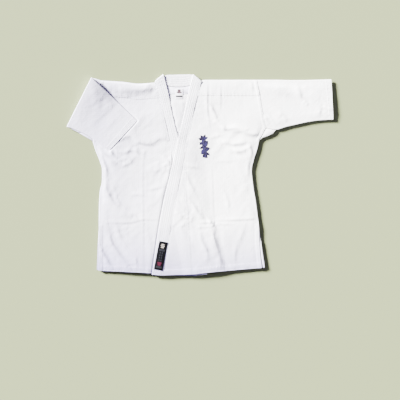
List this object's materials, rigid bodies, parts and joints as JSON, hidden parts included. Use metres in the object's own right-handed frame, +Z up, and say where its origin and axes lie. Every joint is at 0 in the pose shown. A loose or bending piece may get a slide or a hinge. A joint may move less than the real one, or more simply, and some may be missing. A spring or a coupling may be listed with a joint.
{
  "type": "karate jacket laid flat",
  "caption": "White cotton karate jacket laid flat on its back, left front lapped over right, one sleeve straight and one folded over the chest",
  "frame": {"origin": "on the surface that the jacket lies on, at the middle of its bounding box", "axes": "+X across the jacket towards the wearer's left, +Y from hem to collar, +Z up out of the jacket's front"},
  "size_m": [1.0649, 0.8061, 0.0172],
  "materials": {
    "white_cotton": "matt heavy cotton drill",
    "band_cotton": "matt cotton band, stitched in rows",
    "black_label": "woven label, slight sheen",
    "white_label": "woven label, slight sheen"
  },
  "bodies": {
    "root": {"back": "white_cotton", "front_right": "white_cotton", "front_left": "white_cotton", "okumi_right": "white_cotton", "okumi_left": "white_cotton", "collar": "band_cotton", "sleeve_left": "white_cotton", "sleeve_right": "white_cotton", "gusset_left": "white_cotton", "gusset_right": "white_cotton", "shoulder_lining": "white_cotton", "lapel_label": "black_label", "neck_label": "white_label"}
  },
  "joints": []
}
